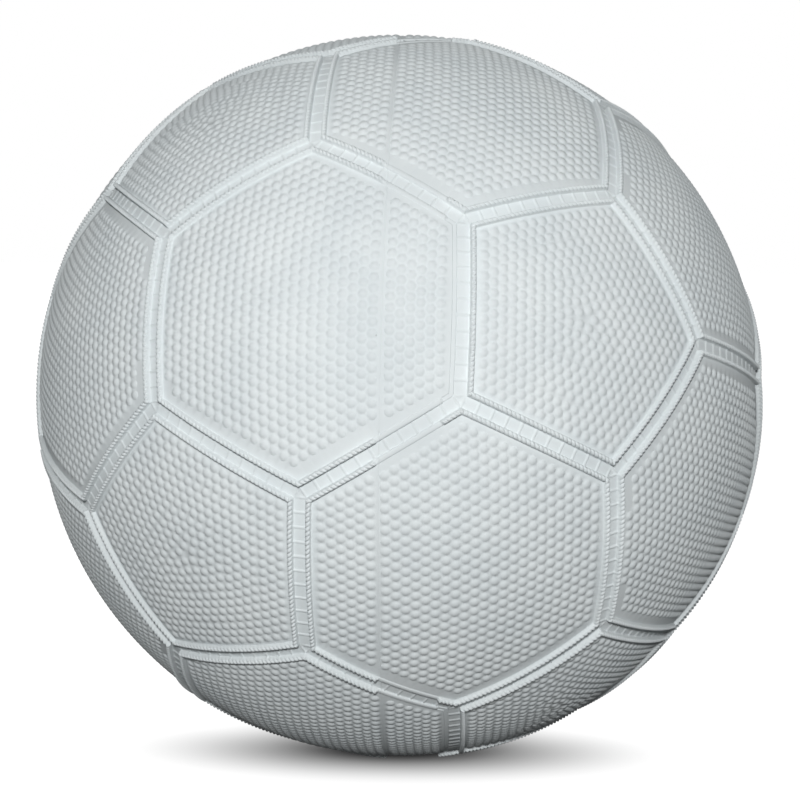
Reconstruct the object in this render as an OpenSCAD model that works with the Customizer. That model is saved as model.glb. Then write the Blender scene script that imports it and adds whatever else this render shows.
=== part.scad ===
/* [Ball] */
// Diameter over the raised rope beads
ball_d = 188; // [180:1:196]

/* [Cover] */
// Thickness of the moulded rubber cover under the panels
cover_t = 1.9; // [1.4:0.1:3]
// Height of a rope bead above the panels
bead_h = 0.9; // [0.5:0.1:1.4]
// Width of one rope bead
bead_w = 1.2; // [0.8:0.1:2]
// Width of the flat strip floor between two rope beads
strip_w = 2.6; // [1.6:0.1:4]
// Depth of the strip floor below the panels
strip_drop = 0.2; // [0.1:0.05:0.6]

/* [Layers] */
// Thickness of the rubber ply that bonds the cover to the winding
carcass_t = 0.6; // [0.4:0.1:1.2]
// Thickness of the nylon winding
winding_t = 0.6; // [0.4:0.1:1.2]
// Wall of the bladder
bladder_t = 0.9; // [0.6:0.1:1.5]

/* [Valve] */
// Diameter of the valve stem where it passes through the layers
stem_d = 8; // [7.5:0.1:10]
// Length of the stem below its flange, inside the bladder
stem_drop = 9; // [7:0.5:14]
// Diameter of the valve flange
flange_d = 22; // [16:0.5:28]
// Thickness of the valve flange
flange_t = 1.2; // [0.8:0.1:2]
// Diameter of the patch between the flange and the bladder
patch_d = 36; // [30:1:44]
// Thickness of the patch
patch_t = 0.8; // [0.5:0.1:1.5]
// Depth of the valve face below the panel around it
face_recess = 0.3; // [0.1:0.1:0.8]

/* [Valve plug] */
// Diameter of the plug's shank
plug_d = 4.2; // [3.6:0.1:4.6]
// Diameter of the plug's head
head_d = 6; // [5.2:0.1:6.6]
// Thickness of the plug's head
head_t = 0.8; // [0.5:0.1:1.2]
// Diameter of the collar that locks the plug in its seat
collar_d = 5.4; // [5:0.1:6]
// Length of the collar
collar_len = 1.4; // [1:0.1:2]
// How far the collar sits below the plug's head
collar_drop = 8.5; // [7:0.5:10]
// How much wider the plug is than its seat before it is pressed in
plug_squeeze = 0.1; // [0.05:0.05:0.3]
// Diameter of the needle guide
needle_d = 2; // [1.6:0.1:2.4]
// Depth of the needle guide
needle_depth = 7; // [5:0.5:7.5]

/* [Hidden] */
$fn = 128;

// Radii of the layers, from the outside in
bead_r = ball_d / 2;
panel_r = bead_r - bead_h;
floor_r = panel_r - strip_drop;
cover_in_r = panel_r - cover_t;
carcass_in_r = cover_in_r - carcass_t;
winding_in_r = carcass_in_r - winding_t;
bladder_in_r = winding_in_r - bladder_t;
patch_in_r = bladder_in_r - patch_t;
flange_in_r = patch_in_r - flange_t;

// Places along the valve, which lies on the X axis
face_x = panel_r - face_recess;
stem_end_x = flange_in_r - stem_drop;
collar_x = face_x - head_t - collar_drop;

// The panels are the faces of a truncated icosahedron with edges of length 1, seen from its centre.
// A rise is how far a panel's corner lies from the panel's axis, for each unit along that axis.
hex_sides = 6;
pent_sides = 5;
hex_corner = 1;
pent_corner = 1 / (2 * sin(180 / pent_sides));
hex_distance = sqrt(3) * (3 + sqrt(5)) / 4;
pent_distance = sqrt((125 + 41 * sqrt(5)) / 40);
hex_rise = hex_corner / hex_distance;
pent_rise = pent_corner / pent_distance;

// Tilt of each ring of panels away from the pole of a cover half
ring_pent_tilt = acos(1 / sqrt(5));
pole_hex_tilt = acos(sqrt((5 + 2 * sqrt(5)) / 15));
belt_hex_tilt = acos(sqrt((5 - 2 * sqrt(5)) / 15));

// Angle from one panel of a ring to the next, about the X axis
ring_step = 360 / pent_sides;
// Turns of a panel about its own middle, so that its edges meet its neighbours'
pole_pent_turn = 180;
hex_turn = 180 / hex_sides;
// Turn of every ball about the X axis, which keeps its seam off the panels' corners
seam_turn = 11;

// Ball with its poles on the valve's axis
module ball(r) {
    rotate([seam_turn, 0, 0])
        rotate([0, 90, 0])
            sphere(r = r);
}

// Puts a panel that lies across +Z in its place: tilted off the +X pole, then turned about X
module place_panel(tilt, around, turn) {
    rotate([around, 0, 0])
        rotate([0, 90 - tilt, 0])
            rotate([0, 0, turn])
                children();
}

// Every pentagon of the half whose pole is +X
module on_pentagons() {
    place_panel(0, 0, pole_pent_turn)
        children();
    for (k = [0 : pent_sides - 1])
        place_panel(ring_pent_tilt, k * ring_step, 0)
            children();
}

// Every hexagon that lies on the half whose pole is +X, the far belt included
module on_hexagons() {
    for (k = [0 : pent_sides - 1]) {
        place_panel(pole_hex_tilt, (k + 0.5) * ring_step, hex_turn)
            children();
        place_panel(belt_hex_tilt, (k + 0.5) * ring_step, hex_turn)
            children();
        place_panel(180 - belt_hex_tilt, k * ring_step, hex_turn)
            children();
    }
}

// Cone from the ball's middle through a panel's edges, with its sides moved in by inset
module panel_cone(sides, rise, inset) {
    edge_lean = atan(rise * cos(180 / sides));
    translate([0, 0, inset / sin(edge_lean)])
        cylinder(h = ball_d, r1 = 0, r2 = ball_d * rise, $fn = sides);
}

// A panel out to the top of its bead
module panel_block(sides, rise) {
    intersection() {
        ball(bead_r);
        panel_cone(sides, rise, strip_w / 2);
    }
}

// The room above a panel, inside its bead
module panel_pocket(sides, rise) {
    difference() {
        panel_cone(sides, rise, strip_w / 2 + bead_w);
        ball(panel_r);
    }
}

// Half of the cover, with its pole at +X and its edge on the parting plane
module cover_half() {
    difference() {
        union() {
            ball(floor_r);
            on_pentagons() panel_block(pent_sides, pent_rise);
            on_hexagons() panel_block(hex_sides, hex_rise);
        }
        on_pentagons() panel_pocket(pent_sides, pent_rise);
        on_hexagons() panel_pocket(hex_sides, hex_rise);
        ball(cover_in_r);
        translate([-ball_d, -ball_d, -ball_d])
            cube([ball_d, 2 * ball_d, 2 * ball_d]);
    }
}

// Cylinder on the valve's axis, from one place along X to another
module valve_rod(from_x, to_x, d) {
    translate([from_x, 0, 0])
        rotate([0, 90, 0])
            cylinder(h = to_x - from_x, d = d);
}

// Closed round layer of the ball with the hole that the valve stem passes through
module layer(out_r, in_r) {
    difference() {
        ball(out_r);
        ball(in_r);
        valve_rod(0, ball_d, stem_d);
    }
}

// Round disc of a layer around the valve
module layer_disc(out_r, in_r, d) {
    intersection() {
        difference() {
            ball(out_r);
            ball(in_r);
        }
        valve_rod(0, ball_d, d);
    }
}

// The plug's outside, or the seat for it when squeeze is 0
module plug_form(squeeze) {
    valve_rod(stem_end_x, face_x, plug_d + squeeze);
    valve_rod(face_x - head_t, face_x, head_d + squeeze);
    valve_rod(collar_x - collar_len, collar_x, collar_d + squeeze);
}

module right_cover() {
    color("#e0e6e7")
        difference() {
            cover_half();
            valve_rod(0, ball_d, stem_d);
        }
}

module left_cover() {
    color("#d9dfe0")
        rotate([0, 180, 0])
            cover_half();
}

module carcass_rubber() {
    color("#5b5650")
        layer(cover_in_r, carcass_in_r);
}

module nylon_winding() {
    color("#f1ecdc")
        layer(carcass_in_r, winding_in_r);
}

module bladder() {
    color("#26282a")
        layer(winding_in_r, bladder_in_r);
}

module valve_patch() {
    color("#3a3c3e")
        difference() {
            layer_disc(bladder_in_r, patch_in_r, patch_d);
            valve_rod(0, ball_d, stem_d);
        }
}

module valve_body() {
    color("#c9cdce")
        difference() {
            union() {
                valve_rod(stem_end_x, face_x, stem_d);
                layer_disc(patch_in_r, flange_in_r, flange_d);
            }
            plug_form(0);
        }
}

module valve_plug() {
    color("#8f9496")
        difference() {
            plug_form(plug_squeeze);
            valve_rod(face_x - needle_depth, ball_d, needle_d);
        }
}

right_cover();
left_cover();
carcass_rubber();
nylon_winding();
bladder();
valve_patch();
valve_body();
valve_plug();
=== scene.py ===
# %% [markdown]
# # A moulded rubber handball
# The ball is a rubber cover, cured in a mould of two halves over a wound carcass and a bladder.
# Its pentagon and hexagon panels are only relief: rows of pebbles inside, and along every edge a
# flat strip between two raised ropes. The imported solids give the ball's place and size. This
# lesson dresses them: it lays each kind of panel out flat, presses the pebbles into it, wraps it
# onto the ball and sets copies of it all round.

# %% Load the frame
import math

import bmesh
import bpy
from mathutils import Matrix, Vector, kdtree


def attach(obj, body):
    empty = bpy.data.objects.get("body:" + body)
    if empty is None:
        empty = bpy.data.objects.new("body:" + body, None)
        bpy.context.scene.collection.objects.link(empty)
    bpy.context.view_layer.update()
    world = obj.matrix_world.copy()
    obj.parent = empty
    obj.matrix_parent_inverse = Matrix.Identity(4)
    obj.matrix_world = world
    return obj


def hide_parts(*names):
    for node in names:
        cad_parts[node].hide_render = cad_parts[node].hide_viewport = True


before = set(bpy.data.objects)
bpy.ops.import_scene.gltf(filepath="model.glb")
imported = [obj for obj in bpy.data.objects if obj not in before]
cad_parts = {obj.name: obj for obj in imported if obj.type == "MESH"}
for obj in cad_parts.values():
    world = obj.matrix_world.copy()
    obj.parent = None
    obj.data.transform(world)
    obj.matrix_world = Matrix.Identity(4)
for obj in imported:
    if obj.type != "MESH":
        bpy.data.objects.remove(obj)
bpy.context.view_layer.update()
print("solids:", sorted(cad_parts))

# %% [markdown]
# ## Sizes
# All building below is in millimetres, and a piece is scaled to metres when it is finished. That
# keeps the small features well above the tolerances of the mesh operators. The ropes reach
# furthest out, so the ball's size is theirs. A rope's height below lies the sheet that the pebbles
# stand on, and the solids' smooth panels lie in between, at about the pebbles' tops.

# %% Sizes of the ball
MM = 0.001
ROPE_R = 94.0  # from the ball's centre to the top of the ropes
ROPE_H = 1.15  # above the sheet between the pebbles
ROPE_W = 1.2
PANEL_R = ROPE_R - ROPE_H  # to that sheet
STRIP_W = 2.6  # flat floor between two ropes
STRIP_DROP = 0.3  # that floor lies below the sheet
COVER_T = 1.65  # of the sheet, so that a tile ends where the carcass starts
COVER_IN_R = PANEL_R - COVER_T

# %% [markdown]
# ## The panel pattern
# Twelve pentagons and twenty hexagons share all their edges, as on a classic football. Each edge
# lies in a plane through the ball's centre, so a panel is given by its number of sides and by its
# lean, the angle from its middle to the middle of an edge. The valve's pentagon faces +X, and the
# mould parts on the plane X = 0, which passes through the ten hexagons of the belt. A panel is
# made facing +Z, with its local X axis towards the pole, and turned into place.

# %% Where each panel sits
HEX_LEAN = math.atan(((math.sqrt(5) - 1) / 2) ** 2)
POLE_HEX_TILT = math.acos(math.sqrt((5 + 2 * math.sqrt(5)) / 15))
PENT_LEAN = POLE_HEX_TILT - HEX_LEAN
BELT_HEX_TILT = POLE_HEX_TILT + 2 * HEX_LEAN
RING_PENT_TILT = math.acos(1 / math.sqrt(5))
FIFTH = math.radians(72)
PENTAGON = dict(sides=5, lean=PENT_LEAN, first=FIFTH / 2)  # a corner points to the pole
HEXAGON = dict(sides=6, lean=HEX_LEAN, first=0.0)  # the middle of an edge points to the pole


def turned(tilt, around=0.0):
    """Turns a panel that faces +Z, so that it lies tilt away from +X."""
    return Matrix.Rotation(around, 4, "X") @ Matrix.Rotation(math.pi / 2 - tilt, 4, "Y")


for name, lean in (("hexagon", HEX_LEAN), ("pentagon", PENT_LEAN)):
    print(f"a {name} leans {math.degrees(lean):.2f} degrees")

# %% [markdown]
# ## A panel laid out flat
# It is easier to set out rows of pebbles on a flat sheet than on a ball. The sheet keeps every
# distance from the panel's middle, so the outline bows a little. A point of the outline is found
# where the ball meets the edge's plane, moved inwards by the inset.

# %% Points of the outline
def rim_point(panel, k, along, inset):
    """Flat place on edge k, inset millimetres inside it. Along the edge runs from -1 to 1."""
    half = math.pi / panel["sides"]
    off = math.atan(along * math.tan(half))
    rise = math.sin(panel["lean"])
    grow = (math.cos(panel["lean"]) * math.cos(off)) ** -2
    a = grow * rise**2 + 1
    b = grow * rise * inset
    up = (b + math.sqrt(b**2 - a * (grow * inset**2 - PANEL_R**2))) / a
    arc = PANEL_R * math.acos(up / PANEL_R)
    angle = panel["first"] + 2 * half * k + off
    return Vector((arc * math.cos(angle), arc * math.sin(angle), 0))


def half_edge(panel, inset):
    """Half the length of an edge at this inset."""
    return (rim_point(panel, 0, 1, inset) - rim_point(panel, 0, -1, inset)).length / 2


def inset_of(panel, x, y):
    """How far a flat point lies inside the nearest edge."""
    arc, angle = math.hypot(x, y) / PANEL_R, math.atan2(y, x)
    step = 2 * math.pi / panel["sides"]
    off = (angle - panel["first"] + step / 2) % step - step / 2
    lean = panel["lean"]
    across = math.sin(arc) * math.cos(off)
    return PANEL_R * (math.sin(lean) * math.cos(arc) - math.cos(lean) * across)


print(f"a strip is {2 * half_edge(HEXAGON, 0):.2f} mm long from corner to corner")

# %% [markdown]
# ## Strip and rope along the edges
# Where a sewn ball has seams, this one has a moulded strip with thin ladder bars across it, and a
# rope on each side. Every panel carries its own rope and half of the strip, up to the strip's
# middle. The border starts as a circle with many points. The circle is laid on the outline, then
# extruded from ring to ring across strip and rope, and each ring gets its height. Columns that
# reach past a corner end up on it, and merging them makes the mitre.

# %% Section of strip and rope
COLUMNS = 149  # points along an edge, about a quarter of a millimetre apart
BARS = 12  # across a strip
BAR_FIRST = 3.0  # column of the first bar, at the corner of the strip's floor
BAR_GAP = (COLUMNS - 2 * BAR_FIRST) / (BARS - 1)
BAR_AT = {round(BAR_FIRST + i * BAR_GAP) for i in range(BARS)}
BAR_H = 0.3
TWIST = 4  # columns to one strand of the rope
TWIST_DEPTH = 0.27  # of the groove between two strands, as a share of the rope's height
TWIST_FROM = 0.6  # share of the rope's height above which the strands are cut
TWIST_LEAN = -0.85  # a strand climbs this far along the rope while it crosses it
LOW_ROPE = 0.19  # share of the full height, where the mould was cut only lightly
LOW_BLUNT = 1.4  # how much fuller a light cut's section is
STEPPED = 0.0  # no rope, only two steps down from the panel to the strip
STEPS = {0: 1, 0.06: 1, 0.2: 0.5, 0.5: 0.5, 0.8: 0.5, 0.94: 0, 1: 0}  # shares of the strip's drop
KEEP_FLAT = 0.12  # rings this close to the rope keep its roundness off the flat rubber
STRIP_RINGS = 3  # the strip's middle, its edge and the rope's foot
MERGED = 1e-4  # points nearer than this become one
MARGIN = 0.25  # smooth rubber beside the rope
ROPE_FOOT = STRIP_W / 2
# Shares of the rope's width and height, from the strip to the panel.
ROPE_SECTION = ((0, 0), (0.06, 0.55), (0.2, 0.88), (0.5, 1), (0.8, 0.88), (0.94, 0.55), (1, 0))


def rope_height(share, across, column, full):
    """Height of a point of the rope above the sheet. Only a full rope has strands."""
    base = -STRIP_DROP * (1 - across)
    groove = 0.0
    if full == 1 and share > TWIST_FROM:
        groove = TWIST_DEPTH * (1 - abs(math.sin(math.pi * column / TWIST)))
    elif full == LOW_ROPE:
        share = 1 - (1 - share) ** LOW_BLUNT
    elif full == STEPPED:
        return -STRIP_DROP * STEPS[across]
    return base + (full * ROPE_H - base) * share * (1 - groove)


print(f"ladder bars stand {BAR_GAP * 2 * half_edge(HEXAGON, 0) / COLUMNS:.2f} mm apart")

# %% Build the border
def extruded(bm, edges):
    """Extrudes a loop of edges and returns its new vertices and edges."""
    geom = bmesh.ops.extrude_edge_only(bm, edges=edges)["geom"]
    made = {v for v in geom if isinstance(v, bmesh.types.BMVert)}
    return made, [e for e in geom if isinstance(e, bmesh.types.BMEdge) and made.issuperset(e.verts)]


def sort_elements(bm):
    """Sorts edges and faces by their vertices, because extruding leaves them in a chance order."""
    bm.verts.index_update()
    base = len(bm.verts)

    def rank(element):
        a, b, *others = sorted(v.index for v in element.verts)
        return (a * base + b) * base + (others[0] if others else 0)

    bm.edges.sort(key=rank)
    bm.faces.sort(key=rank)


def border(bm, panel, rope_share):
    """Half the strip, the rope and the margin, as rings from the outline inwards."""
    column = bm.verts.layers.int.new("column")
    ring = bm.verts.layers.int.new("ring")
    stepped = bm.verts.layers.int.new("stepped")
    count = panel["sides"] * COLUMNS
    made = bmesh.ops.create_circle(bm, cap_ends=False, segments=count, radius=1)["verts"]
    for i, v in enumerate(made):
        v[column] = i
    pitch = 2 * half_edge(panel, 0) / COLUMNS
    insets = [0, ROPE_FOOT - KEEP_FLAT]
    insets += [ROPE_FOOT + ROPE_W * across for across, share in ROPE_SECTION]
    insets += [ROPE_FOOT + ROPE_W + KEEP_FLAT, ROPE_FOOT + ROPE_W + MARGIN]
    rope_from = STRIP_RINGS - 1  # the foot belongs to both
    rope_rings = range(rope_from, rope_from + len(ROPE_SECTION))
    edges = bm.edges[:]
    for r, inset in enumerate(insets):
        if r:
            made, edges = extruded(bm, edges)
        reach = half_edge(panel, inset)
        lean = TWIST_LEAN * max(0, min(1, (inset - ROPE_FOOT) / ROPE_W))
        for v in made:
            k, i = divmod(v[column], COLUMNS)
            s = (i - COLUMNS / 2) * pitch + lean
            along = max(-1, min(1, s / reach))
            v.co = rim_point(panel, k, along, inset)
            v[ring] = r
            if r < STRIP_RINGS:
                bar = i in BAR_AT and abs(along) < 1
                v.co.z = BAR_H * bar - STRIP_DROP
            elif r in rope_rings:
                across, share = ROPE_SECTION[r - rope_from]
                at = i if abs(along) < 1 else TWIST / 2
                full = rope_share(k, s)
                v.co.z = rope_height(share, across, at, full)
                v[stepped] = full == STEPPED
    for e in bm.edges:
        a, b = e.verts
        if a[column] == b[column] and a[column] % COLUMNS % TWIST == 0:
            e.smooth = not {a[ring], b[ring]}.issubset(rope_rings)  # a crisp groove between strands
        elif a[ring] == b[ring] and a[stepped] and b[stepped]:
            e.smooth = False  # a crisp step
    sort_elements(bm)
    bmesh.ops.remove_doubles(bm, verts=bm.verts[:], dist=MERGED)
    last = len(insets) - 1
    return [e for e in bm.edges if e.is_boundary and all(v[ring] == last for v in e.verts)]


trial = bmesh.new()
inner = border(trial, PENTAGON, lambda k, s: 1)
print(f"a pentagon's border has {len(trial.faces)} faces, {len(inner)} edges inside")
trial.free()

# %% [markdown]
# ## Rows of pebbles
# In a hexagon the pebbles stand in one honeycomb of rows along its edges. In the hexagons of the
# belt the rows start from the parting line. There each half of the mould was set out on its own,
# with its own first row, pitch and shift, so the two sides don't line up. In a pentagon the
# pebbles stand on rings that follow the edges. A ring has a pebble or two fewer on each edge than
# the one outside it, which never comes out even, so the mould maker had to squeeze and shift
# them. Some rounds of pushing apart give the same disorder each time.

# %% Rows in a hexagon
FIRST_PEBBLE = 4.2  # least inset of a pebble's middle
STEP = 2.333  # along a row
ROW_REACH = 20  # steps each way, more than any row holds
PARTING_X = (BELT_HEX_TILT - math.pi / 2) * PANEL_R


def row_of(x, shift, least):
    """Sites on a row at x, moved along it by a shift, as far as they keep the least inset."""
    ys = [i * STEP + shift for i in range(-ROW_REACH, ROW_REACH)]
    return [(x, y) for y in ys if inset_of(HEXAGON, x, y) >= least]


POLE_ROW = 1.97
POLE_ROWS = 15  # each way from the middle row
pole_sites = []
for i in range(-POLE_ROWS, POLE_ROWS + 1):
    pole_sites += row_of(i * POLE_ROW, i % 2 * STEP / 2, FIRST_PEBBLE)


NEAR_ROWS = 24  # from the parting line to the pole's side
FAR_ROWS = 8
FAR_ROW = 2.02
BELT_FIRST = 3.9  # least inset of a pebble's middle
CROSSING_FIRST = 4.9  # more room along the edges that cross the parting line


def belt_sites(near_gap, near_row, near_shift, far_gap, far_shift):
    """Sites on both sides of the parting line, from the gap and the shift of each first row."""
    sites = []
    for i in range(NEAR_ROWS):
        x = PARTING_X + near_gap + i * near_row
        least = CROSSING_FIRST if x < 0 else BELT_FIRST
        sites += row_of(x, near_shift + (i + 1) % 2 * STEP / 2, least)
    for i in range(FAR_ROWS):
        x = PARTING_X - far_gap - i * FAR_ROW
        sites += row_of(x, far_shift + i % 2 * STEP / 2, BELT_FIRST)
    return sites


right_sites = belt_sites(
    near_gap=1.52, near_row=2.045, near_shift=-0.57, far_gap=1.55, far_shift=-0.43
)
left_sites = belt_sites(
    near_gap=1.86, near_row=2.06, near_shift=0.35, far_gap=1.63, far_shift=0.85
)
print(f"{len(pole_sites)} pebbles in a pole hexagon")
print(f"{len(right_sites)} and {len(left_sites)} in the two kinds of belt hexagon")

# %% Rings in a pentagon
PENT_ROW = 2.0  # from ring to ring
PENT_STEP = 2.25  # along a ring
PENT_FIRST = 4.5  # inset of the first ring
PUSH_RANGE = 2.45  # pebbles nearer than this push each other apart
PUSH = 0.2  # share of what they lack, in one round
ROUNDS = 120


def ring_sites(panel, clear_r):
    """Sites on rings that follow the edges, outside a bare circle in the middle."""
    sites = []
    x = PANEL_R * panel["lean"] - PENT_FIRST
    while x > PENT_ROW / 2:
        side = 2 * x * math.tan(FIFTH / 2)
        count = round(side / PENT_STEP)
        for k in range(panel["sides"]):
            turn = Matrix.Rotation(panel["first"] + k * FIFTH, 2)
            for i in range(count):
                place = Vector((x, (i / count - 0.5) * side))
                if place.length > clear_r:
                    sites.append(turn @ place)
        x -= PENT_ROW
    return sites


def searchable(sites):
    """A tree that finds the sites near a point."""
    tree = kdtree.KDTree(len(sites))
    for i, p in enumerate(sites):
        tree.insert((p[0], p[1], 0), i)
    tree.balance()
    return tree


def push_apart(panel, sites, clear_r):
    """Moves sites that stand close, and keeps them inside the margin."""
    for _ in range(ROUNDS):
        tree = searchable(sites)
        moved = []
        for i, p in enumerate(sites):
            push = Vector((0, 0))
            for q, j, gap in tree.find_range(p.to_3d(), PUSH_RANGE):
                if j != i:
                    push += (p - q.to_2d()) / gap * (PUSH_RANGE - gap) * PUSH
            q = p + push
            fits = inset_of(panel, *q) >= FIRST_PEBBLE and q.length >= clear_r
            moved.append(q if fits else p)
        sites = moved
    return sites


def pentagon_sites(clear_r):
    return push_apart(PENTAGON, ring_sites(PENTAGON, clear_r), clear_r)


VALVE_BARE_R = 7.0  # no pebble's middle is nearer to the valve
pent_sites = pentagon_sites(0)
valve_sites = pentagon_sites(VALVE_BARE_R)
print(f"{len(pent_sites)} pebbles in a pentagon, {len(valve_sites)} round the valve")

# %% [markdown]
# ## Pebbles and the sheet between them
# A pebble starts as a flat ten-sided disc. All discs and the border's inner ring together bound
# the sheet between the pebbles, which one triangle fill closes. Two insets and a poke then raise
# every disc to a dome at once, so a pebble costs only thirty faces.

# %% Fill a panel with pebbles
PEBBLE_R = 1.1
PEBBLE_SIDES = 10
LEAST_SHEET = 0.05  # squeezed pebbles are smaller, with this much sheet left between them
WIDE = 1.0  # sheet with an edge longer than this counts as a wide stretch
DOME = ((0.23, 0.16), (0.42, 0.16))  # inwards and up, twice
DOME_TOP = 0.05


def pebble_field(bm, sites, ring_edges):
    """Discs at the sites, the sheet between them, and domes on the discs."""
    discs = []
    tree = searchable(sites)
    for x, y in sites:
        itself, neighbour = tree.find_n((x, y, 0), 2)
        r = min(PEBBLE_R, neighbour[2] / 2 - LEAST_SHEET / 2)
        made = bmesh.ops.create_circle(
            bm, cap_ends=True, segments=PEBBLE_SIDES, radius=r, matrix=Matrix.Translation((x, y, 0))
        )["verts"]
        discs += made[0].link_faces
    rims = [e for f in discs for e in f.edges]
    bmesh.ops.triangle_fill(bm, use_beauty=True, edges=ring_edges + rims, normal=(0, 0, 1))
    bm.normal_update()
    bmesh.ops.reverse_faces(bm, faces=[f for f in bm.faces if f.normal.z < 0])
    flat = set(bm.faces).difference(discs)
    for e in rims:
        # Beside a wide stretch of sheet a crisp foot keeps the dome's shading off it.
        beside = [a for f in e.link_faces if f in flat for a in f.edges]
        e.smooth = not any(a.calc_length() > WIDE for a in beside)
    for inwards, up in DOME:
        bmesh.ops.inset_individual(
            bm, faces=discs, thickness=inwards, depth=up, use_even_offset=True
        )
    bmesh.ops.poke(bm, faces=discs, offset=DOME_TOP)


# %% [markdown]
# ## Wrapping and closing a panel
# Wrapping turns a distance on the sheet into an angle on the ball, and a height into a radius.
# The wrapped sheet is then made a solid tile as thick as the cover. Its outline is extruded in to
# the cover's inner radius, most points of that lower loop are dissolved, because nothing fine is
# left down there, and a few more rings lead to the middle.

# %% Wrap the sheet onto the ball
def wrap(bm):
    for v in bm.verts:
        arc = math.hypot(v.co.x, v.co.y)
        turn = arc / PANEL_R
        out = Vector((v.co.x, v.co.y, 0)) * (math.sin(turn) / arc if arc else 0)
        out.z = math.cos(turn)
        v.co = out * (PANEL_R + v.co.z)
    for f in bm.faces:
        f.smooth = True


# %% Close a tile below
FLOOR_STEP = 3.5  # between the points that the lower loop keeps
CORNER = math.radians(8)  # a sharper bend is kept
FLOOR_RINGS = (0.7, 0.6, 0.45)  # what each ring keeps of the one before


def in_order(edges):
    """Vertices of a closed loop of edges, in order round it."""
    links = {}
    for e in edges:
        for v in e.verts:
            links.setdefault(v, []).append(e.other_vert(v))
    start = edges[0].verts[0]
    walk, back = [start], None
    while len(walk) < len(links):
        a, b = links[walk[-1]]
        step = b if a is back else a
        back = walk[-1]
        walk.append(step)
    return walk


def thinned(loop):
    """Vertices of a loop at a corner or a step on from the last one kept, and its others."""
    kept, gone, run = [], [], 0.0
    for a, b, c in zip(loop[-1:] + loop[:-1], loop, loop[1:] + loop[:1]):
        run += (b.co - a.co).length
        if run < FLOOR_STEP and (b.co - a.co).angle(c.co - b.co, 0) < CORNER:
            gone.append(b)
        else:
            kept.append(b)
            run = 0.0
    return kept, gone


def close_below(bm, hole=()):
    """Walls down to the cover's inner radius and a floor there, left open round a hole's loop."""
    outline = [e for e in bm.edges if e.is_boundary and e not in set(hole)]
    top = set(bm.faces)
    made, edges = extruded(bm, outline)
    for v in made:
        v.co = v.co.normalized() * COVER_IN_R
    kept, gone = thinned(in_order(edges))
    low = set(kept)
    bmesh.ops.dissolve_verts(bm, verts=gone)
    edges = [e for e in bm.edges if e.is_boundary and low.issuperset(e.verts)]
    middle = sum((v.co for v in kept), Vector()).normalized() * COVER_IN_R
    for keep in FLOOR_RINGS:
        made, edges = extruded(bm, edges)
        for v in made:
            v.co = middle.lerp(v.co, keep).normalized() * COVER_IN_R
    if hole:
        bmesh.ops.triangle_fill(bm, use_beauty=True, edges=edges + list(hole), normal=middle)
    else:
        cap = bmesh.ops.contextual_create(bm, geom=edges)["faces"]
        for v in bmesh.ops.poke(bm, faces=cap)["verts"]:
            v.co = v.co.normalized() * COVER_IN_R
    for f in bm.faces:
        f.smooth = f in top
    for e in outline:
        e.smooth = False
    bmesh.ops.recalc_face_normals(bm, faces=bm.faces[:])


# %% [markdown]
# ## The kinds of tile
# The pole hexagon and the pentagon repeat unchanged. The valve's pentagon has a smooth eyelet
# with a hole. A belt hexagon is cut in two along the parting line, with a thin ridge of flash on
# the cut. On one side of that line the ropes that cross it are cut only shallowly, up to a short
# way before the corner. Hexagons of the mould's left half also have two small steps instead of a
# rope on their far edge. So belt hexagons come in two kinds, and each gives two tiles.

# %% Plain tiles
def full_rope(k, s):
    return 1


def finished(bm, name):
    sort_elements(bm)
    form = bpy.data.meshes.new(name)
    bm.to_mesh(form)
    open_edges = sum(e.is_boundary or not e.is_manifold for e in bm.edges)
    triangles = sum(len(f.verts) - 2 for f in bm.faces)
    print(f"{name}: {triangles} triangles, {open_edges} open edges")
    bm.free()
    return form


def plain_tile(name, panel, sites):
    bm = bmesh.new()
    pebble_field(bm, sites, border(bm, panel, full_rope))
    wrap(bm)
    close_below(bm)
    return finished(bm, name)


pentagon = plain_tile("pentagon", PENTAGON, pent_sites)
pole_hexagon = plain_tile("pole_hexagon", HEXAGON, pole_sites)

# %% The valve's tile
HOLE_R = 4.0
EYELET_SIDES = 64
# Radius and height of its rings, from the sheet over the swollen lip into the hole.
EYELET = ((5.6, 0.0), (5.35, 0.3), (4.5, 0.46), (4.1, 0.34), (HOLE_R, 0.1))
bm = bmesh.new()
outer = border(bm, PENTAGON, full_rope)
known = set(bm.edges)
bmesh.ops.create_circle(bm, cap_ends=False, segments=EYELET_SIDES, radius=EYELET[0][0])
lip = [e for e in bm.edges if e not in known]
pebble_field(bm, valve_sites, outer + lip)
for r, up in EYELET[1:]:
    made, lip = extruded(bm, lip)
    for v in made:
        v.co = Vector((v.co.x, v.co.y, 0)).normalized() * r
        v.co.z = up
made, lip = extruded(bm, lip)
for v in made:
    v.co.z = COVER_IN_R - PANEL_R
wrap(bm)
close_below(bm, lip)
valve_pentagon = finished(bm, "valve_pentagon")

# %% Belt tiles, cut along the parting line
FLASH_H = 0.1
FLASH_W = 0.25
FULL_AFTER = 14.8  # from the parting line to where the full rope starts again
FULL_SHORT = 1.0  # full rope stops this far before the parting line
CROSSING = {2: -1, 4: 1}  # the edges that cross it, and which end is on the pole's side
FAR_EDGE = 3
# The line crosses the edge at a slant, so it meets the rope a little off the edge's middle.
SLANT = (ROPE_FOOT + ROPE_W / 2) * math.tan(math.radians(30))
ON_LINE = 1e-4  # points nearer to the parting plane than this lie on it


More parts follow.
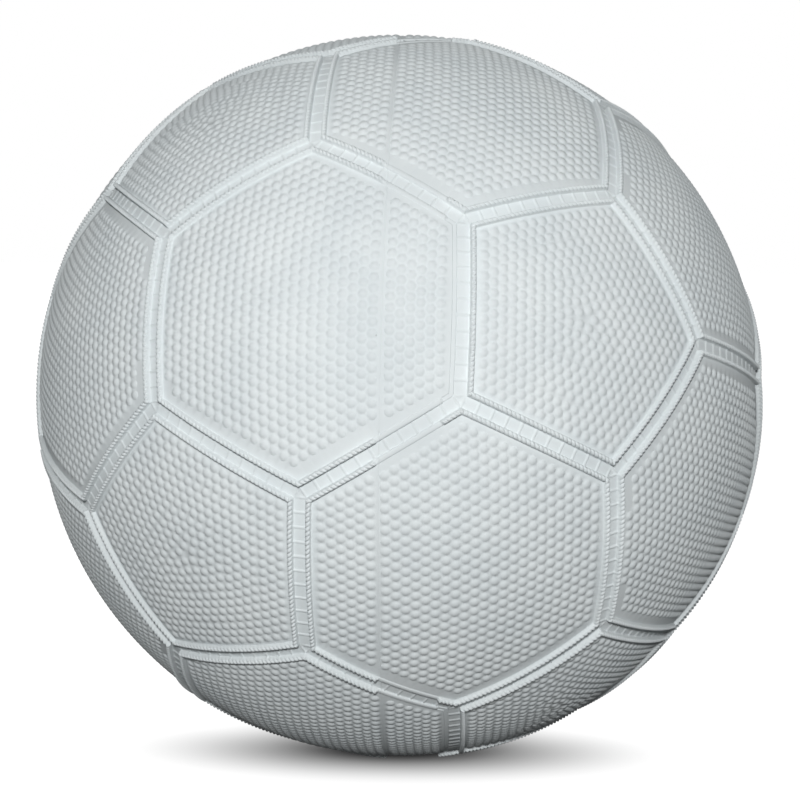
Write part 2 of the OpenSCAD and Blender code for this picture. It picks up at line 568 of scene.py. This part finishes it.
def belt_tiles(half, sites, low_near):
    """The pole's side and the far side of a belt hexagon."""

    def rope_share(k, s):
        if k == FAR_EDGE:
            return 1 if low_near else STEPPED
        if k not in CROSSING:
            return 1
        past = s * CROSSING[k] + SLANT  # the parting line, towards the pole
        near = past > 0
        if near != low_near:
            return LOW_ROPE if abs(past) < FULL_SHORT else 1
        if abs(past) < FULL_AFTER:
            return LOW_ROPE
        return 1 if near else STEPPED

    bm = bmesh.new()
    pebble_field(bm, sites, border(bm, HEXAGON, rope_share))
    wrap(bm)
    pole = Vector((math.sin(BELT_HEX_TILT), 0, math.cos(BELT_HEX_TILT)))
    for at in (-FLASH_W, FLASH_W, 0):
        geom = bm.verts[:] + bm.edges[:] + bm.faces[:]
        bmesh.ops.bisect_plane(bm, geom=geom, dist=ON_LINE / 10, plane_co=pole * at, plane_no=pole)
    for v in bm.verts:
        if abs(v.co.dot(pole)) < ON_LINE:
            v.co += v.co.normalized() * FLASH_H
    forms = []
    for side, near in (("near", True), ("far", False)):
        part = bm.copy()
        geom = part.verts[:] + part.edges[:] + part.faces[:]
        bmesh.ops.bisect_plane(
            part,
            geom=geom,
            dist=ON_LINE,
            plane_co=(0, 0, 0),
            plane_no=pole,
            clear_inner=near,
            clear_outer=not near,
        )
        close_below(part)
        forms.append(finished(part, f"{half}_belt_{side}"))
    bm.free()
    return forms


right_near, right_far = belt_tiles("right", right_sites, True)
left_near, left_far = belt_tiles("left", left_sites, False)

# %% [markdown]
# ## Rubber of the cover
# The cover is a vulcanised rubber compound, white filled and pressed in a blasted mould. To the eye
# it is a cool, nearly even grey white and quite dull: the fine grain of the mould breaks up any
# shine. It has faint clouds from the mixing, and a few dark specks.

# %% Helpers for materials
def tint(code):
    """Linear colour of an sRGB hex value."""
    parts = [int(code[i : i + 2], 16) / 255 for i in (1, 3, 5)]
    return [p / 12.92 if p <= 0.04045 else ((p + 0.055) / 1.055) ** 2.4 for p in parts] + [1]


def add(tree, kind, sockets=None, **settings):
    """Adds a node. Sockets maps an input to a value, or to the output that feeds it."""
    node = tree.nodes.new(kind)
    for name, value in settings.items():
        setattr(node, name, value)
    for name, value in (sockets or {}).items():
        if isinstance(value, bpy.types.NodeSocket):
            tree.links.new(value, node.inputs[name])
        else:
            node.inputs[name].default_value = value
    return node


def per_mm(size):
    """Scale of a pattern whose features are this many millimetres wide."""
    return 1 / (size * MM)


def new_material(name):
    """A material with its tree, its surface shader and the object's own coordinates."""
    material = bpy.data.materials.new(name)
    material.use_nodes = True
    tree = material.node_tree
    shader = next(n for n in tree.nodes if n.type == "BSDF_PRINCIPLED")
    place = add(tree, "ShaderNodeTexCoord").outputs["Object"]
    return material, tree, shader, place


# %% Moulded cover rubber
CLOUD = 17.0  # width of a cloud in the compound
GRAIN = 0.45  # grain of the mould, drawn coarse enough to show
GRAIN_H = 0.02
SPECK_EVERY = 11.0  # width of the cells that may hold a speck
SPECK_R = 0.34
cover_rubber, tree, shader, place = new_material("moulded white rubber")
cloud = add(
    tree,
    "ShaderNodeTexNoise",
    {"Vector": place, "Scale": per_mm(CLOUD), "Detail": 4.0, "Roughness": 0.6},
)
tones = add(
    tree,
    "ShaderNodeMapRange",
    {"Value": cloud.outputs["Fac"], "From Min": 0.3, "From Max": 0.7},
)
base = add(
    tree,
    "ShaderNodeMix",
    {"Factor": tones.outputs["Result"], "A": tint("#D9E0E2"), "B": tint("#E2E8E9")},
    data_type="RGBA",
)
cells = add(tree, "ShaderNodeTexVoronoi", {"Vector": place, "Scale": per_mm(SPECK_EVERY)})
dot = add(
    tree,
    "ShaderNodeMapRange",
    {
        "Value": cells.outputs["Distance"],
        "From Min": SPECK_R / SPECK_EVERY,
        "From Max": 0.5 * SPECK_R / SPECK_EVERY,
    },
)
speck = add(
    tree,
    "ShaderNodeMath",
    {0: dot.outputs["Result"], 1: cells.outputs["Color"]},
    operation="MULTIPLY",
)
few = add(
    tree,
    "ShaderNodeMapRange",
    {"Value": speck.outputs["Value"], "From Min": 0.55, "From Max": 0.9, "To Max": 0.5},
)
colour = add(
    tree,
    "ShaderNodeMix",
    {"Factor": few.outputs["Result"], "A": base.outputs["Result"], "B": tint("#7F8482")},
    data_type="RGBA",
)
tree.links.new(colour.outputs["Result"], shader.inputs["Base Color"])
grain = add(tree, "ShaderNodeTexNoise", {"Vector": place, "Scale": per_mm(GRAIN), "Detail": 2.0})
satin = add(
    tree, "ShaderNodeMapRange", {"Value": cloud.outputs["Fac"], "To Min": 0.75, "To Max": 0.88}
)
tree.links.new(satin.outputs["Result"], shader.inputs["Roughness"])
bump = add(
    tree,
    "ShaderNodeBump",
    {"Height": grain.outputs["Fac"], "Strength": 0.25, "Distance": GRAIN_H * MM},
)
tree.links.new(bump.outputs["Normal"], shader.inputs["Normal"])
shader.inputs["Specular IOR Level"].default_value = 0.0  # the grain leaves no shine
print("made", cover_rubber.name)

# %% [markdown]
# ## Setting the tiles round the ball
# Every tile is a copy of one of the forms, turned to its place and scaled to metres in its mesh.
# The left half of the cover is the right half turned half way round the Y axis. A belt hexagon's
# far side belongs to the other half of the cover.

# %% Place the tiles
HALF_TURN = Matrix.Rotation(math.pi, 4, "Y")
TO_METRES = Matrix.Scale(MM, 4)


def dress(mesh, name, node, material):
    """Makes a piece that stands for a solid."""
    piece = bpy.data.objects.new(name, mesh)
    bpy.context.scene.collection.objects.link(piece)
    mesh.materials.append(material)
    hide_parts(node)
    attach(piece, "root")
    return piece


def tile(form, name, place, node):
    mesh = form.copy()
    mesh.name = name
    mesh.transform(TO_METRES @ place)
    return dress(mesh, name, node, cover_rubber)


tiles = []
for half, node, flip, pole_form, near_form, far_form in (
    ("right", "right_cover", Matrix(), valve_pentagon, right_near, left_far),
    ("left", "left_cover", HALF_TURN, pentagon, left_near, right_far),
):
    upright = Matrix.Rotation(math.pi, 4, "Z")
    tiles.append(tile(pole_form, f"{half}_pole_pentagon", flip @ turned(0) @ upright, node))
    for k in range(5):
        at, between = k * FIFTH, (k + 0.5) * FIFTH
        belt = flip @ turned(BELT_HEX_TILT, between)
        for form, name, place in (
            (pentagon, "ring_pentagon", flip @ turned(RING_PENT_TILT, at)),
            (pole_hexagon, "pole_hexagon", flip @ turned(POLE_HEX_TILT, between)),
            (near_form, "belt_hexagon", belt),
            (far_form, "belt_edge", HALF_TURN @ belt),
        ):
            tiles.append(tile(form, f"{half}_{name}_{k}", place, node))
for form in (pentagon, valve_pentagon, pole_hexagon, right_near, right_far, left_near, left_far):
    bpy.data.meshes.remove(form)
print(f"{len(tiles)} tiles")

# %% [markdown]
# ## What lies under the cover
# The solids of the inner layers and of the valve already have their shapes, so they stay and only
# get their finishes. From the outside in: a soft carcass rubber, the wound nylon, the butyl
# bladder with its patch, and the grey rubber of the valve.

# %% Inner rubbers
SKIN = 0.5  # width of the skin's fine bumps
SKIN_H = 0.03
RUBBER_IOR = 1.52


def plain_rubber(name, dark, light, cloud_mm, rough):
    """Rubber with clouds in its colour and shine, and a fine skin."""
    material, tree, shader, place = new_material(name)
    cloud = add(
        tree, "ShaderNodeTexNoise", {"Vector": place, "Scale": per_mm(cloud_mm), "Detail": 5.0}
    )
    colour = add(
        tree,
        "ShaderNodeMix",
        {"Factor": cloud.outputs["Fac"], "A": tint(dark), "B": tint(light)},
        data_type="RGBA",
    )
    tree.links.new(colour.outputs["Result"], shader.inputs["Base Color"])
    shine = add(
        tree,
        "ShaderNodeMapRange",
        {"Value": cloud.outputs["Fac"], "To Min": rough - 0.1, "To Max": rough + 0.1},
    )
    tree.links.new(shine.outputs["Result"], shader.inputs["Roughness"])
    skin = add(tree, "ShaderNodeTexNoise", {"Vector": place, "Scale": per_mm(SKIN), "Detail": 2.0})
    bump = add(
        tree,
        "ShaderNodeBump",
        {"Height": skin.outputs["Fac"], "Strength": 0.3, "Distance": SKIN_H * MM},
    )
    tree.links.new(bump.outputs["Normal"], shader.inputs["Normal"])
    shader.inputs["IOR"].default_value = RUBBER_IOR
    return material


carcass_rubber = plain_rubber("calendered carcass rubber", "#3B332C", "#4A4138", 12, 0.7)
butyl = plain_rubber("moulded butyl", "#1B1C1E", "#2A2B2D", 20, 0.45)
valve_rubber = plain_rubber("moulded valve rubber", "#5E6263", "#73787A", 4, 0.6)
print("made", carcass_rubber.name, butyl.name, valve_rubber.name)

# %% Wound nylon
THREAD = 0.9  # two threads side by side, because one alone is too fine to show
THREAD_H = 0.2
WAVES = 20  # a wave pattern repeats this often in one unit of its scale
LAYS = ((0, 0, 0), (1.1, 0.4, 0), (0.3, 1.2, 0.5))  # three ways that the thread is wound
nylon, tree, shader, place = new_material("wound nylon thread")
heights = []
for turn in LAYS:
    lay = add(tree, "ShaderNodeMapping", {"Vector": place, "Rotation": turn})
    wave = add(
        tree,
        "ShaderNodeTexWave",
        {
            "Vector": lay.outputs["Vector"],
            "Scale": per_mm(THREAD) / WAVES,
            "Distortion": 0.6,
            "Detail": 1.0,
        },
        wave_profile="SIN",
    )
    heights.append(wave.outputs["Fac"])
two = add(tree, "ShaderNodeMath", {0: heights[0], 1: heights[1]}, operation="MAXIMUM")
crossed = add(
    tree, "ShaderNodeMath", {0: two.outputs["Value"], 1: heights[2]}, operation="MAXIMUM"
)
# The colour follows the threads' height: the darker tan in the low grooves between them is painted
# shade.
colour = add(
    tree,
    "ShaderNodeMix",
    {"Factor": crossed.outputs["Value"], "A": tint("#8C8264"), "B": tint("#EFE8D2")},
    data_type="RGBA",
)
tree.links.new(colour.outputs["Result"], shader.inputs["Base Color"])
bump = add(
    tree,
    "ShaderNodeBump",
    {"Height": crossed.outputs["Value"], "Strength": 0.6, "Distance": THREAD_H * MM},
)
tree.links.new(bump.outputs["Normal"], shader.inputs["Normal"])
shine = add(
    tree, "ShaderNodeMapRange", {"Value": crossed.outputs["Value"], "To Min": 0.6, "To Max": 0.4}
)
tree.links.new(shine.outputs["Result"], shader.inputs["Roughness"])
finishes = {
    "carcass_rubber": carcass_rubber,
    "nylon_winding": nylon,
    "bladder": butyl,
    "valve_patch": butyl,
    "valve_body": valve_rubber,
    "valve_plug": valve_rubber,
}
for name, material in finishes.items():
    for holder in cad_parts[name].material_slots:
        holder.material = material
print("finished", sorted(finishes))

# %% [markdown]
# ## Floor, light and camera
# The ball stands on a plain floor in front of white. One lamp a little above the camera does most
# of the lighting, so every rope throws a thin dark line below itself, and weak surroundings fill
# the rest in. Three soft lamps behind the ball light its other sides. The floor and the world are
# white only to what sees them, and put next to no light on the ball. The floor's white fades out
# under the ball and lets its dark grey show: a painted shadow where the two touch, not one cast by
# the lamps.

# %% Floor
def seen_or_mirrored(tree):
    """One for what the camera sees, also by a reflection or through glass, and zero for light."""
    path = add(tree, "ShaderNodeLightPath").outputs
    seen = path["Is Camera Ray"]
    for ray in ("Is Glossy Ray", "Is Transmission Ray"):
        either = add(tree, "ShaderNodeMath", {0: seen, 1: path[ray]}, operation="MAXIMUM")
        seen = either.outputs["Value"]
    return seen


# The shadow's and the floor's lengths are in metres, the floor's height is in millimetres.
# The contact shadow is painted: the floor's white glow fades out round this middle.
SHADOW_AT = (0.001, -0.014)  # its middle on the floor, a little in front of the ball's
SHADOW_TURN = math.radians(2.6)
SHADOW_FLAT = 3.3  # it is this much wider than deep
SHADOW_DARK = 0.005  # fully dark up to here from its middle, sideways
SHADOW_END = 0.080  # gone from here on
FLOOR_SIZE = 6.0
FLOOR_Z = -(PANEL_R + sum(up for inwards, up in DOME) + DOME_TOP)
floor_bm = bmesh.new()
bmesh.ops.create_grid(floor_bm, x_segments=1, y_segments=1, size=FLOOR_SIZE)
bmesh.ops.translate(floor_bm, verts=floor_bm.verts[:], vec=(0, 0, FLOOR_Z * MM))
floor_mesh = bpy.data.meshes.new("floor")
floor_bm.to_mesh(floor_mesh)
floor_bm.free()
floor = bpy.data.objects.new("floor", floor_mesh)
bpy.context.scene.collection.objects.link(floor)
paper, tree, shader, place = new_material("matt paper with painted shadow")
# Its dark grey is also what shows in the painted shadow, where the glow fades.
shader.inputs["Base Color"].default_value = tint("#404040")  # throws little light up to the ball
shader.inputs["Roughness"].default_value = 0.9
# Painted shadow: the glow fades with the distance from SHADOW_AT, and the dark grey shows through.
under = add(
    tree,
    "ShaderNodeMapping",
    {
        "Vector": place,
        "Location": (*SHADOW_AT, FLOOR_Z * MM),
        "Rotation": (0, 0, SHADOW_TURN),
        "Scale": (1, 1 / SHADOW_FLAT, 1),
    },
    vector_type="TEXTURE",
)
away = add(tree, "ShaderNodeVectorMath", {0: under.outputs["Vector"]}, operation="LENGTH")
fade = add(
    tree,
    "ShaderNodeMapRange",
    {"Value": away.outputs["Value"], "From Min": SHADOW_DARK, "From Max": SHADOW_END},
    interpolation_type="SMOOTHSTEP",
)
glow = add(
    tree,
    "ShaderNodeMath",
    {0: seen_or_mirrored(tree), 1: fade.outputs["Result"]},
    operation="MULTIPLY",
)
shader.inputs["Emission Color"].default_value = (1, 1, 1, 1)
tree.links.new(glow.outputs["Value"], shader.inputs["Emission Strength"])
floor_mesh.materials.append(paper)
print(f"floor at {FLOOR_Z:.2f} mm")

# %% World
SURROUND = 0.036  # how bright the surroundings are to the ball
world = bpy.data.worlds.new("pale studio")
bpy.context.scene.world = world
world.use_nodes = True
tree = world.node_tree
white = add(
    tree, "ShaderNodeMapRange", {"Value": seen_or_mirrored(tree), "To Min": SURROUND}
)
back = next(n for n in tree.nodes if n.type == "BACKGROUND")
back.inputs["Color"].default_value = (1, 1, 1, 1)
tree.links.new(white.outputs["Result"], back.inputs["Strength"])
print("surroundings at", SURROUND)

# %% Camera
# The view was found from the panel corners in the photograph: a little to the right of -Y and
# slightly above the ball's middle, with hardly any roll.
TO_CAMERA = Vector((0.04311, -0.99233, 0.11582)).normalized()
CAMERA_RIGHT = Vector((0.99888, 0.04507, 0.01435))
CAMERA_DISTANCE = 355.3 * MM
FOCAL = 59.717
LOOK_DOWN = -0.006  # share of the picture by which the ball is moved
right = (CAMERA_RIGHT - TO_CAMERA * CAMERA_RIGHT.dot(TO_CAMERA)).normalized()
turn = Matrix((right, TO_CAMERA.cross(right), TO_CAMERA)).transposed().to_4x4()
camera = bpy.data.cameras.new("camera")
camera.sensor_width = 36.0
camera.lens = FOCAL
camera.shift_y = LOOK_DOWN
camera.clip_start = 0.01
view = bpy.data.objects.new("camera", camera)
view.matrix_world = Matrix.Translation(TO_CAMERA * CAMERA_DISTANCE) @ turn
bpy.context.scene.collection.objects.link(view)
bpy.context.scene.camera = view
print("camera at", [round(c, 3) for c in view.location])

# %% Lamps
def soft_lamp(name, place, size, watts):
    """A round lamp that faces the ball. Its place and size are in metres."""
    lamp = bpy.data.lights.new(name, "AREA")
    lamp.shape = "DISK"
    lamp.size = size
    lamp.energy = watts
    holder = bpy.data.objects.new(name, lamp)
    facing = Vector(place).to_track_quat("Z", "Y").to_matrix().to_4x4()
    holder.matrix_world = Matrix.Translation(place) @ facing
    bpy.context.scene.collection.objects.link(holder)
    print(f"{name} {Vector(place).length:.2f} m away, {watts} W")


soft_lamp("key_lamp", (0.0127, -0.5701, 0.1867), size=0.06, watts=2.47)
soft_lamp("right_back_lamp", (0.223, 0.201, 0.02), size=0.12, watts=0.42)
soft_lamp("left_back_lamp", (-0.223, 0.201, 0.02), size=0.12, watts=0.42)
soft_lamp("top_back_lamp", (0, 0.198, 0.198), size=0.12, watts=0.28)
bpy.context.scene.view_settings.view_transform = "Standard"
